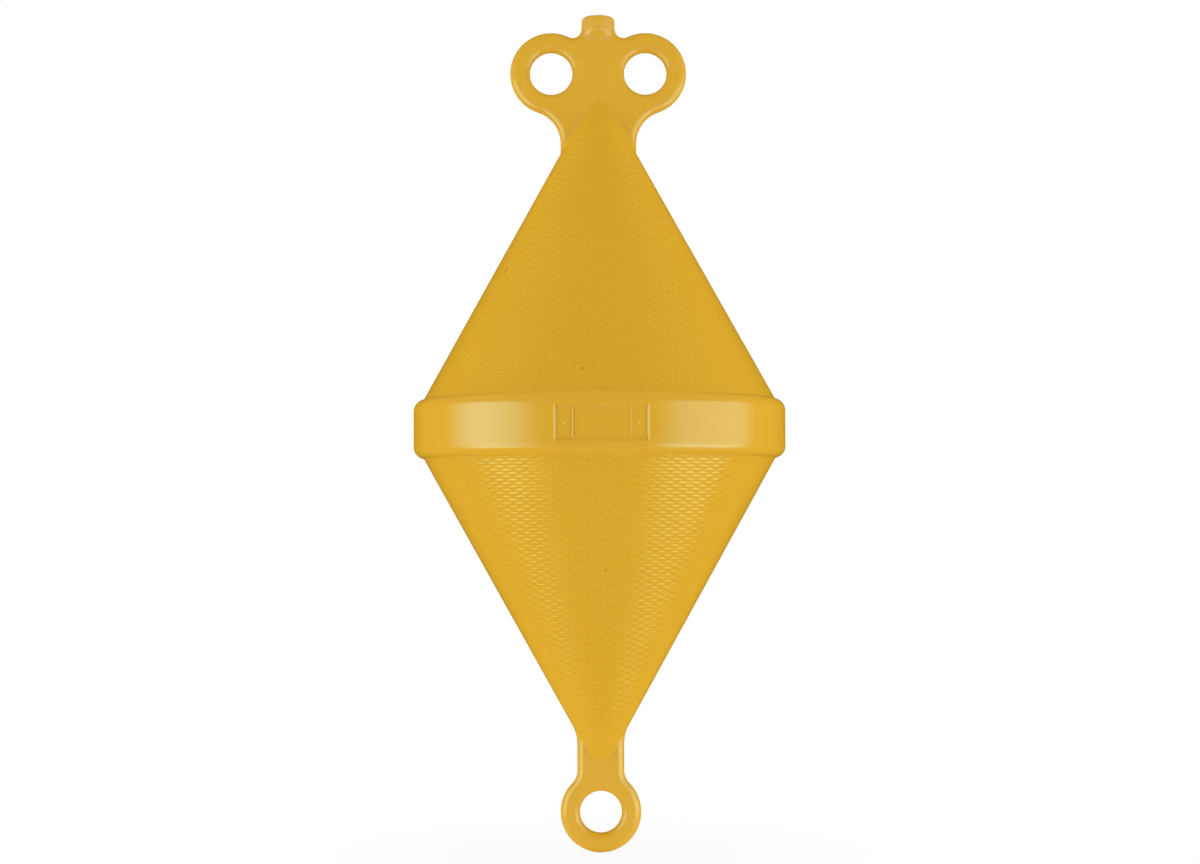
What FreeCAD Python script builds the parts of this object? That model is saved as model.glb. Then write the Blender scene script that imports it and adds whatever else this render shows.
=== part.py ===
import FreeCAD, Part
import math
import os

# Biconical mooring buoy, in millimetres.
# Origin: on the buoy's axis at the middle of the belt, where the design waterline runs.
# +Z points up, the two lug plates lie in the XZ plane, and the name panel faces -Y.

# --- Driving dimensions ----------------------------------------------------

# Body: a drum-shaped belt with a foam-filled cone seated on each of its faces
BELT_DIAMETER = 320.0
BELT_HEIGHT = 50.8
BELT_PROUD = 8.7            # how far the belt stands out past each cone's rim
BELT_CORNER_RADIUS = 10.0
CONE_HALF_ANGLE = 29.03     # degrees, between the axis and the cone's side

# Lug plates: solid webs moulded across the tips of the cones
PLATE_THICKNESS = 15.0
PLATE_EDGE_FLAT = 1.0       # flat left between the two rounds of a plate's edge
EYE_WALL = 3.0              # straight wall left between the two rounds of an eye
PLATE_ROOT = 3.0            # how far a plate's hidden foot reaches into its cone

# Head plate: two eyes side by side
HEAD_EYE_DIAMETER = 37.0
HEAD_RING_WIDTH = 17.0
HEAD_EYE_SPACING = 81.6
HEAD_EYE_RISE = 10.8        # above the point where the upper cone's sides would meet
HEAD_WAIST_WIDTH = 65.6
HEAD_WAIST_ARC = 28.5       # concave arc from each ring down to the waist
HEAD_VALLEY_ARC = 7.5       # concave arc from each ring up to the filling neck

# Tail plate: one eye below the lower cone
TAIL_EYE_DIAMETER = 36.0
TAIL_RING_WIDTH = 16.6
TAIL_EYE_DROP = 30.4        # below the point where the lower cone's sides would meet
TAIL_SHANK_WIDTH = 40.3
TAIL_SHOULDER_ARC = 16.5    # concave arc from the ring to the shank
TAIL_FLARE_ARC = 38.0       # concave arc from the shank out to the cone
TAIL_FLARE_SINK = 0.3       # depth below the cone's side at which the flare ends
TAIL_FLARE_RUN = 12.0       # hidden length of the flare inside the cone

# Filling neck, with its plug, on the head plate between the eyes
NECK_DIAMETER = 28.4
NECK_SHOULDER = 0.4         # how far the plate's tongue stands out past the neck
NECK_RISE = 49.3            # from the eyes' centres to the neck's rim
NECK_HEIGHT = 14.9
NECK_TOP_ROUND = 4.0
NECK_FOOT_ROUND = 3.0
TONGUE_HEIGHT = 4.0         # how far the plate's tongue reaches up into the neck
PLUG_DIAMETER = 15.0
PLUG_HEIGHT = 5.5
PLUG_CLEARANCE = 0.15
PLUG_DROP = 0.8             # from the neck's rim down to the plug's face
PLUG_EDGE_ROUND = 0.8
PLUG_DISH_DEPTH = 0.9
PLUG_DISH_DIAMETER = 11.0

# Name panel: a shallow pocket with sloping sides in the front of the belt
PANEL_WIDTH = 77.0
PANEL_HEIGHT = 31.2
PANEL_DEPTH = 1.8
NAME_FRAME_WIDTH = 48.0
NAME_FRAME_HEIGHT = 26.4
NAME_FRAME_BEAD = 1.5
NAME_FRAME_PROUD = 0.9
PIP_DIAMETER = 3.2
PIP_PROUD = 1.0
PIP_EDGE_ROUND = 0.5
PIP_SPACING = 60.0

# --- Sizes worked out from them --------------------------------------------

BELT_RADIUS = BELT_DIAMETER / 2
HALF_BELT = BELT_HEIGHT / 2
CONE_RIM_RADIUS = BELT_RADIUS - BELT_PROUD
CONE_SLOPE = math.tan(math.radians(CONE_HALF_ANGLE))
CONE_TIP_RADIUS = PLATE_THICKNESS / 3
APEX_HEIGHT = HALF_BELT + CONE_RIM_RADIUS / CONE_SLOPE
PLATE_EDGE_ROUND = (PLATE_THICKNESS - PLATE_EDGE_FLAT) / 2
EYE_RIM_ROUND = (PLATE_THICKNESS - EYE_WALL) / 2
HEAD_EYE_HEIGHT = APEX_HEIGHT + HEAD_EYE_RISE
TAIL_EYE_DEPTH = APEX_HEIGHT + TAIL_EYE_DROP
NECK_RADIUS = NECK_DIAMETER / 2
NECK_TOP = HEAD_EYE_HEIGHT + NECK_RISE
NECK_FOOT = NECK_TOP - NECK_HEIGHT
TONGUE_TOP = NECK_FOOT + TONGUE_HEIGHT
PANEL_FLOOR_RADIUS = BELT_RADIUS - PANEL_DEPTH


def cone_height_at(radius):
    """Height above the waterline at which the cone's side has this radius."""
    return APEX_HEIGHT - radius / CONE_SLOPE


def point(x, z, y=0.0):
    return FreeCAD.Vector(x, y, z)


def line(start, end):
    return Part.makeLine(start, end)


def arc(centre, radius, start_angle, end_angle):
    """Arc in the XZ plane; angles in degrees from +X towards +Z, run in the order given."""
    ends = []
    for angle in (start_angle, (start_angle + end_angle) / 2, end_angle):
        turn = math.radians(angle)
        ends.append(centre + point(radius * math.cos(turn), radius * math.sin(turn)))
    return Part.Arc(*ends).toShape()


def angle_between(centre, target):
    """Direction in degrees from one point of the XZ plane to another."""
    return math.degrees(math.atan2(target.z - centre.z, target.x - centre.x))


def mirrored(edges):
    """The same edges on the other side of the YZ plane."""
    return [edge.mirror(point(0, 0), point(1, 0)) for edge in edges]


def cylinder(radius, low, high):
    return Part.makeCylinder(radius, high - low, point(0, low))


def revolved(profile):
    """Solid of revolution about Z from a closed profile of (radius, height) points."""
    corners = [point(radius, height) for radius, height in profile]
    face = Part.Face(Part.makePolygon(corners + corners[:1]))
    return face.revolve(point(0, 0), point(0, 1), 360)


# --- Body --------------------------------------------------------------------

def cone(direction):
    """Foam-filled cone, rim on the belt and tip inside the lug plate; direction is +1 up or -1 down."""
    tip_height = cone_height_at(CONE_TIP_RADIUS)
    return revolved([
        (0, direction * HALF_BELT),
        (CONE_RIM_RADIUS, direction * HALF_BELT),
        (CONE_TIP_RADIUS, direction * tip_height),
        (0, direction * tip_height),
    ])


def panel_pocket():
    """Room cut out for the name panel: floor bent to the belt, every side at 45 degrees to it."""
    half_height = PANEL_HEIGHT / 2
    outside = BELT_RADIUS + PANEL_DEPTH
    band = revolved([
        (PANEL_FLOOR_RADIUS, PANEL_DEPTH - half_height),
        (outside, -PANEL_DEPTH - half_height),
        (outside, PANEL_DEPTH + half_height),
        (PANEL_FLOOR_RADIUS, half_height - PANEL_DEPTH),
    ])
    half_turn = math.asin(PANEL_WIDTH / BELT_DIAMETER)
    slope_turn = PANEL_DEPTH / BELT_RADIUS
    floor_x = PANEL_FLOOR_RADIUS * math.sin(half_turn - slope_turn)
    floor_y = -PANEL_FLOOR_RADIUS * math.cos(half_turn - slope_turn)
    outside_x = outside * math.sin(half_turn + slope_turn)
    outside_y = -outside * math.cos(half_turn + slope_turn)
    corners = [
        point(-floor_x, -HALF_BELT, floor_y),
        point(floor_x, -HALF_BELT, floor_y),
        point(outside_x, -HALF_BELT, outside_y),
        point(outside_x, -HALF_BELT, -BELT_DIAMETER),
        point(-outside_x, -HALF_BELT, -BELT_DIAMETER),
        point(-outside_x, -HALF_BELT, outside_y),
    ]
    between = Part.Face(Part.makePolygon(corners + corners[:1])).extrude(point(0, BELT_HEIGHT))
    return band.common(between)


def belt():
    drum = cylinder(BELT_RADIUS, -HALF_BELT, HALF_BELT)
    rims = [edge for edge in drum.Edges if edge.isClosed()]
    return drum.makeFillet(BELT_CORNER_RADIUS, rims).cut(panel_pocket())


def upright_box(width, height):
    """Block through the front half of the belt, this wide and high, centred on the panel."""
    corner = point(-width / 2, -height / 2, -BELT_DIAMETER)
    return Part.makeBox(width, BELT_DIAMETER, height, corner)


def name_frame():
    """Plain raised bead round the blank name field, bent to the pocket's floor."""
    outer = upright_box(NAME_FRAME_WIDTH, NAME_FRAME_HEIGHT)
    inner = upright_box(NAME_FRAME_WIDTH - 2 * NAME_FRAME_BEAD, NAME_FRAME_HEIGHT - 2 * NAME_FRAME_BEAD)
    face = cylinder(PANEL_FLOOR_RADIUS + NAME_FRAME_PROUD, -HALF_BELT, HALF_BELT)
    floor = cylinder(PANEL_FLOOR_RADIUS, -HALF_BELT, HALF_BELT)
    return face.cut(floor).common(outer.cut(inner))


def pip(side):
    """Low round pip on the pocket's floor; side is -1 left or +1 right."""
    reach = PIP_DIAMETER
    stud = Part.makeCylinder(
        PIP_DIAMETER / 2,
        reach + PIP_PROUD,
        point(0, 0, reach - PANEL_FLOOR_RADIUS),
        point(0, 0, -1),
    )
    front = [edge for edge in stud.Edges if edge.BoundBox.YMax < -PANEL_FLOOR_RADIUS]
    stud = stud.makeFillet(PIP_EDGE_ROUND, front)
    turn = math.degrees(math.asin(PIP_SPACING / 2 / PANEL_FLOOR_RADIUS))
    stud.rotate(point(0, 0), point(0, 1), side * turn)
    return stud.cut(cylinder(PANEL_FLOOR_RADIUS, -HALF_BELT, HALF_BELT))


# --- Lug plates --------------------------------------------------------------

def plate(outline, eyes, eye_radius, hidden_foot):
    """Plate of the given outline with round eyes; every edge is rounded but its hidden foot.

    outline: edges of one closed loop in the XZ plane. hidden_foot: height of the foot's straight end.
    """
    half = PLATE_THICKNESS / 2
    face = Part.Face(Part.Wire(Part.__sortEdges__(outline)))
    slab = face.extrude(FreeCAD.Vector(0, PLATE_THICKNESS, 0))
    slab.translate(FreeCAD.Vector(0, -half, 0))
    for eye in eyes:
        hole = Part.makeCylinder(eye_radius, 2 * PLATE_THICKNESS, eye - FreeCAD.Vector(0, PLATE_THICKNESS, 0),
                                 FreeCAD.Vector(0, 1, 0))
        slab = slab.cut(hole)
    rims = []
    edges = []
    for edge in slab.Edges:
        box = edge.BoundBox
        if box.YLength > half or abs(abs(box.Center.y) - half) > 0.01:
            continue
        if edge.isClosed():
            rims.append(edge)
        elif box.ZLength > 0.01 or abs(box.Center.z - hidden_foot) > 0.01:
            edges.append(edge)
    slab = slab.makeFillet(PLATE_EDGE_ROUND, edges)
    rims = [edge for edge in slab.Edges if edge.isClosed() and abs(abs(edge.BoundBox.Center.y) - half) < 0.01]
    return slab.makeFillet(EYE_RIM_ROUND, rims)


def head_plate():
    eye = point(HEAD_EYE_SPACING / 2, HEAD_EYE_HEIGHT)
    ring = HEAD_EYE_DIAMETER / 2 + HEAD_RING_WIDTH
    half_waist = HEAD_WAIST_WIDTH / 2
    half_tongue = NECK_RADIUS + NECK_SHOULDER
    tongue_end = NECK_TOP + NECK_HEIGHT

    waist_x = half_waist + HEAD_WAIST_ARC
    waist_drop = math.sqrt((ring + HEAD_WAIST_ARC) ** 2 - (waist_x - eye.x) ** 2)
    waist = point(waist_x, eye.z - waist_drop)
    valley_x = half_tongue + HEAD_VALLEY_ARC
    valley_rise = math.sqrt((ring + HEAD_VALLEY_ARC) ** 2 - (valley_x - eye.x) ** 2)
    valley = point(valley_x, eye.z + valley_rise)
    foot = cone_height_at(math.hypot(half_waist, PLATE_THICKNESS / 2) + PLATE_ROOT)

    to_waist = angle_between(eye, waist)
    to_valley = angle_between(eye, valley)
    right = [
        line(point(half_waist, foot), point(half_waist, waist.z)),
        arc(waist, HEAD_WAIST_ARC, 180, to_waist + 180),
        arc(eye, ring, to_waist, to_valley),
        arc(valley, HEAD_VALLEY_ARC, to_valley + 180, 180),
        line(point(half_tongue, valley.z), point(half_tongue, tongue_end)),
    ]
    across = [
        line(point(-half_waist, foot), point(half_waist, foot)),
        line(point(-half_tongue, tongue_end), point(half_tongue, tongue_end)),
    ]
    eyes = [point(-eye.x, eye.z), eye]
    blank = plate(right + mirrored(right) + across, eyes, HEAD_EYE_DIAMETER / 2, foot)
    above = Part.makeBox(2 * BELT_RADIUS, 2 * BELT_RADIUS, BELT_RADIUS, point(-BELT_RADIUS, TONGUE_TOP, -BELT_RADIUS))
    return blank.cut(above).cut(cone(1))


def tail_plate():
    eye = point(0, -TAIL_EYE_DEPTH)
    ring = TAIL_EYE_DIAMETER / 2 + TAIL_RING_WIDTH
    half_shank = TAIL_SHANK_WIDTH / 2

    shoulder_x = half_shank + TAIL_SHOULDER_ARC
    shoulder_rise = math.sqrt((ring + TAIL_SHOULDER_ARC) ** 2 - shoulder_x ** 2)
    shoulder = point(shoulder_x, eye.z + shoulder_rise)

    # The flare runs tangent to a line laid just under the cone's side.
    slant = math.hypot(1, CONE_SLOPE)
    flare_x = half_shank + TAIL_FLARE_ARC
    reach = (TAIL_FLARE_ARC - TAIL_FLARE_SINK) * slant
    flare_depth = (CONE_SLOPE * APEX_HEIGHT + reach - flare_x) / CONE_SLOPE
    flare = point(flare_x, -flare_depth)
    touch = flare + point(-TAIL_FLARE_ARC / slant, TAIL_FLARE_ARC * CONE_SLOPE / slant)
    foot = touch + point(TAIL_FLARE_RUN * CONE_SLOPE / slant, TAIL_FLARE_RUN / slant)

    to_shoulder = angle_between(eye, shoulder)
    right = [
        line(foot, touch),
        arc(flare, TAIL_FLARE_ARC, angle_between(flare, touch), 180),
        line(point(half_shank, flare.z), point(half_shank, shoulder.z)),
        arc(shoulder, TAIL_SHOULDER_ARC, 180, to_shoulder + 180),
        arc(eye, ring, to_shoulder, -90),
    ]
    across = [line(point(-foot.x, foot.z), foot)]
    blank = plate(right + mirrored(right) + across, [eye], TAIL_EYE_DIAMETER / 2, foot.z)
    return blank.cut(cone(-1))


# --- Filling neck and its plug -------------------------------------------------

def plug_seat():
    """Height of the floor that the plug stands on, inside the neck."""
    return NECK_TOP - PLUG_DROP - PLUG_HEIGHT


def filling_neck():
    neck = cylinder(NECK_RADIUS, NECK_FOOT, NECK_TOP)
    top = [edge for edge in neck.Edges if edge.BoundBox.ZMin > NECK_TOP - 0.01]
    neck = neck.makeFillet(NECK_TOP_ROUND, top)
    foot = [edge for edge in neck.Edges if edge.BoundBox.ZMax < NECK_FOOT + 0.01]
    neck = neck.makeFillet(NECK_FOOT_ROUND, foot)
    socket = cylinder(PLUG_DIAMETER / 2 + PLUG_CLEARANCE, plug_seat(), NECK_TOP + PLUG_HEIGHT)
    return neck.cut(socket).cut(head_plate())


def filler_plug():
    face = NECK_TOP - PLUG_DROP
    plug = cylinder(PLUG_DIAMETER / 2, plug_seat(), face)
    rim = [edge for edge in plug.Edges if edge.BoundBox.ZMin > face - 0.01]
    plug = plug.makeFillet(PLUG_EDGE_ROUND, rim)
    half_dish = PLUG_DISH_DIAMETER / 2
    ball_radius = (half_dish ** 2 + PLUG_DISH_DEPTH ** 2) / (2 * PLUG_DISH_DEPTH)
    ball = Part.makeSphere(ball_radius, point(0, face + ball_radius - PLUG_DISH_DEPTH))
    return plug.cut(ball)


# --- One STEP file per piece -----------------------------------------------------

def export(name, shape):
    """Write one closed solid to parts/NAME.step."""
    solids = shape.Solids
    if len(solids) != 1 or not solids[0].isValid():
        raise ValueError(f"{name}: {len(solids)} solids, or not a valid one")
    solids[0].exportStep(os.path.join("parts", name + ".step"))
    print(name, round(solids[0].Volume / 1000, 2), "cm3")


os.makedirs("parts", exist_ok=True)
export("belt", belt())
export("upper_cone", cone(1))
export("lower_cone", cone(-1))
export("head_plate", head_plate())
export("tail_plate", tail_plate())
export("filling_neck", filling_neck())
export("filler_plug", filler_plug())
export("name_frame", name_frame())
export("frame_pip_left", pip(-1))
export("frame_pip_right", pip(1))
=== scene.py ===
import math

import bpy
from bpy.props import FloatProperty, FloatVectorProperty, IntProperty, PointerProperty
from bpy.types import Operator, Panel, PropertyGroup
from mathutils import Matrix, Vector


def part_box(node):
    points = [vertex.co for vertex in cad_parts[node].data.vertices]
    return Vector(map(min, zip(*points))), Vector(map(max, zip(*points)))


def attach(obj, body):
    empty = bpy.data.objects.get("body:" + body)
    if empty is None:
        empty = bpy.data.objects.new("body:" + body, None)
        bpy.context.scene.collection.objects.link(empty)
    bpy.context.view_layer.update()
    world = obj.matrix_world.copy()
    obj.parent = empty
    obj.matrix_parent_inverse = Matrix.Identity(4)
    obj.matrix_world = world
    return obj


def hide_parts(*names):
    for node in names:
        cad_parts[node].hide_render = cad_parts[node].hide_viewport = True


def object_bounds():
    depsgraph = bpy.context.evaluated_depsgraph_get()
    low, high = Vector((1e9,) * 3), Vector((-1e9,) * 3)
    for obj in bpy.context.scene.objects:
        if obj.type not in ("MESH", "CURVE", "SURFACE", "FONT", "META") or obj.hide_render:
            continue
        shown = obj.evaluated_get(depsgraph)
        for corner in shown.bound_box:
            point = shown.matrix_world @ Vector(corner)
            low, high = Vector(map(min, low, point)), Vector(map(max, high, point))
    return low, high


bl_info = {
    "name": "Biconical Mooring Buoy",
    "version": (1, 0, 0),
    "blender": (4, 5, 0),
    "location": "View3D > Sidebar > Buoy",
    "description": "Dresses the packed buoy in moulded plastic and sets it on a studio floor",
    "category": "Object",
}

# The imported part. +Z runs up the buoy's axis, and the name panel faces -Y.
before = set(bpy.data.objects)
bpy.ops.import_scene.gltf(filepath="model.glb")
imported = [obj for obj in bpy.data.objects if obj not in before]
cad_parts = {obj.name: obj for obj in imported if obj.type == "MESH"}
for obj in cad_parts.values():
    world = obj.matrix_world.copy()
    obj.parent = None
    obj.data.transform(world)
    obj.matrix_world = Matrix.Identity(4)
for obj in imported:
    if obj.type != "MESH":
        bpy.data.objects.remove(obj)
cad_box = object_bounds()

MM = 0.001


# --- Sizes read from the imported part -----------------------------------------

def cad_vertices(node):
    return [vertex.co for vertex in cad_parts[node].data.vertices]


def widest_at(node, height, reach=0.2 * MM):
    """Largest distance from the axis among a node's vertices at this height."""
    level = [co for co in cad_vertices(node) if abs(co.z - height) < reach]
    return max(math.hypot(co.x, co.y) for co in level)


BELT_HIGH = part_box("belt")[1]
BELT_RADIUS = BELT_HIGH.x
HALF_BELT = BELT_HIGH.z
CONE_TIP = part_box("upper_cone")[1].z
CONE_RIM_RADIUS = widest_at("upper_cone", HALF_BELT)
CONE_TIP_RADIUS = widest_at("upper_cone", CONE_TIP)
CONE_SLOPE = (CONE_RIM_RADIUS - CONE_TIP_RADIUS) / (CONE_TIP - HALF_BELT)
APEX_HEIGHT = HALF_BELT + CONE_RIM_RADIUS / CONE_SLOPE
HALF_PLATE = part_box("head_plate")[1].y
BUOY_FOOT = cad_box[0].z


# --- Settings ------------------------------------------------------------------

class BuoySizes(PropertyGroup):
    """Sizes of the moulded detail."""

    belt_corner: FloatProperty(
        name="Belt corner radius",
        description="Radius of the round along both corners of the belt",
        default=10 * MM, subtype="DISTANCE",
    )
    panel_width: FloatProperty(
        name="Panel width",
        description="Width of the name panel, along the belt's chord",
        default=77 * MM, subtype="DISTANCE",
    )
    panel_height: FloatProperty(
        name="Panel height",
        description="Height of the name panel",
        default=31.2 * MM, subtype="DISTANCE",
    )
    panel_depth: FloatProperty(
        name="Panel depth",
        description="Depth of the name panel below the belt's face",
        default=1.8 * MM, subtype="DISTANCE",
    )
    panel_lip: FloatProperty(
        name="Panel lip", description="Radius of the rounded edge round the name panel",
        default=0.9 * MM, subtype="DISTANCE",
    )
    frame_width: FloatProperty(
        name="Name frame width",
        description="Width of the bead round the blank name field",
        default=48 * MM, subtype="DISTANCE",
    )
    frame_height: FloatProperty(
        name="Name frame height",
        description="Height of the bead round the blank name field",
        default=26.4 * MM, subtype="DISTANCE",
    )
    bead_width: FloatProperty(
        name="Bead width",
        description="Width of the name frame's bead",
        default=1.5 * MM, subtype="DISTANCE",
    )
    bead_height: FloatProperty(
        name="Bead height",
        description="How far the name frame's bead stands off the panel's floor",
        default=0.9 * MM, subtype="DISTANCE",
    )
    pip_diameter: FloatProperty(
        name="Pip diameter",
        description="Diameter of the two pips beside the name frame",
        default=3.2 * MM, subtype="DISTANCE",
    )
    pip_height: FloatProperty(
        name="Pip height",
        description="How far each pip stands off the panel's floor",
        default=1.0 * MM, subtype="DISTANCE",
    )
    pip_spacing: FloatProperty(
        name="Pip spacing",
        description="Distance between the two pips' centres",
        default=60 * MM, subtype="DISTANCE",
    )
    pillow_width: FloatProperty(
        name="Pillow width",
        description="Width of one diamond pillow of the cones' grip pattern",
        default=11 * MM, subtype="DISTANCE",
    )
    pillow_height: FloatProperty(
        name="Pillow height",
        description="Height of one diamond pillow of the cones' grip pattern",
        default=5.4 * MM, subtype="DISTANCE",
    )
    pillow_rise: FloatProperty(
        name="Pillow rise",
        description="Scale of the pillows' rise; a crown stands about half of it proud",
        default=0.3 * MM, subtype="DISTANCE",
    )
    belt_fillet: FloatProperty(
        name="Belt fillet",
        description="Radius of the fillet between the belt's edges and the cones",
        default=3 * MM, subtype="DISTANCE",
    )
    blend_radius: FloatProperty(
        name="Blend radius",
        description="Radius of the soft blend between each cone and its lug plate",
        default=4.5 * MM, subtype="DISTANCE",
    )
    pillow_steps: IntProperty(
        name="Pillow steps",
        description="Mesh rows in the height of one pillow",
        default=10, min=4,
    )


class BuoyColours(PropertyGroup):
    """Colours of the plastic and of its marks."""

    body: FloatVectorProperty(
        name="Body",
        description="Pigment of the moulded polyethylene",
        default=(0.744, 0.402, 0.0243), subtype="COLOR", min=0, max=1,
    )
    # Paler plastic for worn edges, also used as painted highlight and painted light on the panel's walls, the
    # belt's upper edge, the bead and the pips
    rubbed_and_lit: FloatVectorProperty(
        name="Rubbed",
        description="Paler plastic where raised edges have been rubbed",
        default=(0.9, 0.48, 0.05), subtype="COLOR", min=0, max=1,
    )
    scuff: FloatVectorProperty(
        name="Scuff",
        description="Colour of the small nicks in the skin",
        default=(0.12, 0.055, 0.01), subtype="COLOR", min=0, max=1,
    )
    floor: FloatVectorProperty(
        name="Floor",
        description="Pale colour of the studio floor",
        default=(0.95, 0.95, 0.95), subtype="COLOR", min=0, max=1,
    )


# --- Shader maths -----------------------------------------------------------------

class Signal:
    """Output of a shader node. Its operators add Math nodes to the same tree."""

    def __init__(self, shader, socket):
        self.shader = shader
        self.socket = socket

    def maths(self, operation, first, second):
        return self.shader.add("ShaderNodeMath", {"operation": operation}, {0: first, 1: second})

    def __add__(self, other):
        return self.maths("ADD", self, other)

    __radd__ = __add__

    def __sub__(self, other):
        return self.maths("SUBTRACT", self, other)

    def __rsub__(self, other):
        return self.maths("SUBTRACT", other, self)

    def __mul__(self, other):
        return self.maths("MULTIPLY", self, other)

    def __truediv__(self, other):
        return self.maths("DIVIDE", self, other)

    def larger(self, other):
        return self.maths("MAXIMUM", self, other)

    def smaller(self, other):
        return self.maths("MINIMUM", self, other)

    def off_nearest(self):
        """Distance from the nearest whole number."""
        whole = self.shader.add("ShaderNodeMath", {"operation": "ROUND"}, {0: self})
        return (self - whole).size()

    def size(self):
        return self.shader.add("ShaderNodeMath", {"operation": "ABSOLUTE"}, {0: self})

    def ease(self, start, end):
        """0 up to start, 1 from end on, a smooth step between; it falls where start is the larger."""
        settings = {"interpolation_type": "SMOOTHSTEP"}
        return self.shader.add(
            "ShaderNodeMapRange", settings, {"Value": self, "From Min": start, "From Max": end}
        )


class Shader:
    """A node tree while it is being written."""

    def __init__(self, tree):
        self.tree = tree
        tree.nodes.clear()

    def add(self, kind, settings=None, values=None, output=0):
        """New node of this kind: its settings first, then the values or links of its sockets."""
        node = self.tree.nodes.new(kind)
        for name, value in (settings or {}).items():
            setattr(node, name, value)
        for name, value in (values or {}).items():
            if isinstance(value, Signal):
                self.tree.links.new(value.socket, node.inputs[name])
            else:
                node.inputs[name].default_value = value
        return Signal(self, node.outputs[output]) if node.outputs else None

    def place(self):
        """Position in the buoy's own frame, in metres."""
        return self.add("ShaderNodeTexCoord", output="Object")

    def noise(self, size, detail=2.0):
        """Smooth noise from 0 to 1 whose blotches are about this many metres across."""
        values = {"Vector": self.place(), "Scale": 1 / size, "Detail": detail}
        return self.add("ShaderNodeTexNoise", None, values)

    def axis(self, name):
        return self.add("ShaderNodeSeparateXYZ", None, {"Vector": self.place()}, name)

    def distance_to(self, spot):
        """Distance in metres from the surface point to a spot."""
        settings = {"operation": "DISTANCE"}
        return self.add("ShaderNodeVectorMath", settings, {0: self.place(), 1: spot}, "Value")

    def scaled(self, colour, factor):
        settings = {"operation": "SCALE"}
        return self.add("ShaderNodeVectorMath", settings, {0: colour, "Scale": factor}, "Vector")

    def blend(self, factor, first, second):
        """Mix of two colours; 6, 7 and output 2 are the Mix node's colour sockets."""
        settings = {"data_type": "RGBA"}
        values = {0: factor, 6: first, 7: second}
        return self.add("ShaderNodeMix", settings, values, 2)

    def ray(self, *kinds):
        """1 for rays of any of these kinds, such as Is Camera Ray."""
        total = None
        for kind in kinds:
            found = self.add("ShaderNodeLightPath", output=kind)
            total = found if total is None else total.larger(found)
        return total

    def finish(self, kind, surface):
        self.add(kind, None, {"Surface": surface})


def new_material(name):
    material = bpy.data.materials.new(name)
    material.use_nodes = True
    return material, Shader(material.node_tree)


# --- The buoy's plastic --------------------------------------------------------------

PIGMENT_CLOUD = 70 * MM        # size of the faint clouds in the pigment
PIGMENT_SPECK = 1.6 * MM
PEEL_SIZE = 2.2 * MM           # size of the moulded skin's orange peel
PARTING_WIDTH = 0.35 * MM      # half the width of the line where the mould's halves met
SPECULAR_LEVEL = 0.5
SPECULAR_TINT = (0.29, 1.0, 0.92, 1.0)
GLOSS_INDEX = 1.8              # refractive index of the polished skin
GRIP_GLOSS = (0.68, (0.56, 0.98, 0.5, 1.0))
VALLEY_PAINTED_SHADE = 0.045           # how much darker painted shade makes the plastic between the cones' pillows
SHADE_AND_DIRT_DEPTH = 0.18            # how much darker painted shade in the panel's creases and dirt patches on the bead and pips make the plastic


def with_alpha(colour):
    return (*colour, 1.0)


def moulded_plastic(
    name, roughness, peel_height, parting_height=0.0, nicks=(), wear_and_light=None, pattern=None,
    gloss=(SPECULAR_LEVEL, SPECULAR_TINT),
):
    """Pigmented polyethylene: faint clouds, orange peel, a parting line and small nicks.

    nicks: (centre, radius) of each dark mark, in metres.
    wear: function of the shader that gives where the plastic is painted paler, for worn edges and painted
    highlight, and where dirt and painted shade darken it.
    pattern: function of the shader that gives the height of a moulded pattern and where painted shade darkens
    its low spots.
    gloss: level and tint of the plastic's highlights.
    """
    colours = bpy.context.scene.buoy_colours
    material, shader = new_material(name)
    cloud = shader.noise(PIGMENT_CLOUD, 3.0)
    speck = shader.noise(PIGMENT_SPECK)
    tone = 0.965 + cloud * 0.05 + speck * 0.02
    body = tuple(colours.body)
    # Paler for worn edges and painted highlight; darker with dirt and painted shade.
    if wear_and_light:
        rubbed_and_lit, shade_and_dirt = wear_and_light(shader)
        body = shader.blend(rubbed_and_lit, with_alpha(colours.body), with_alpha(colours.rubbed_and_lit))
        tone = tone * (1 - shade_and_dirt * SHADE_AND_DIRT_DEPTH)
    if pattern:
        relief, painted_valley_shade = pattern(shader)
        # painted shade between the cones' pillows
        tone = tone * (1 - painted_valley_shade * VALLEY_PAINTED_SHADE)
    colour = shader.scaled(body, tone)
    height = shader.noise(PEEL_SIZE) * peel_height
    if pattern:
        height = height + relief
    if parting_height:
        line = shader.axis("Y").size().ease(PARTING_WIDTH, 0.0)
        height = height + line * parting_height
    for centre, radius in nicks:
        nick = shader.distance_to(centre).ease(radius, radius / 2)
        colour = shader.blend(nick * 0.85, colour, with_alpha(colours.scuff))
        height = height - nick * 0.2 * MM
    bump = shader.add("ShaderNodeBump", None, {"Strength": 1.0, "Distance": 1.0, "Height": height})
    surface = shader.add("ShaderNodeBsdfPrincipled", None, {
        "Base Color": colour,
        "Roughness": roughness - 0.03 + cloud * 0.06,
        "IOR": GLOSS_INDEX,
        "Specular IOR Level": gloss[0],
        "Specular Tint": gloss[1],
        "Normal": bump,
    })
    shader.finish("ShaderNodeOutputMaterial", surface)
    return material


def dress(piece, material):
    piece.data.materials.clear()
    piece.data.materials.append(material)


# --- Mesh code --------------------------------------------------------------------------

def new_piece(name, vertices, faces, buried=()):
    """Smooth-shaded mesh object.

    buried: vertices whose faces are shaded flat, so they don't bend the shading of the rest.
    """
    mesh = bpy.data.meshes.new(name)
    mesh.from_pydata([tuple(vertex) for vertex in vertices], [], faces)
    mesh.update()
    mesh.shade_smooth()
    buried = set(buried)
    for polygon in mesh.polygons:
        if buried.intersection(polygon.vertices):
            polygon.use_smooth = False
    piece = bpy.data.objects.new(name, mesh)
    bpy.context.scene.collection.objects.link(piece)
    return piece


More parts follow.
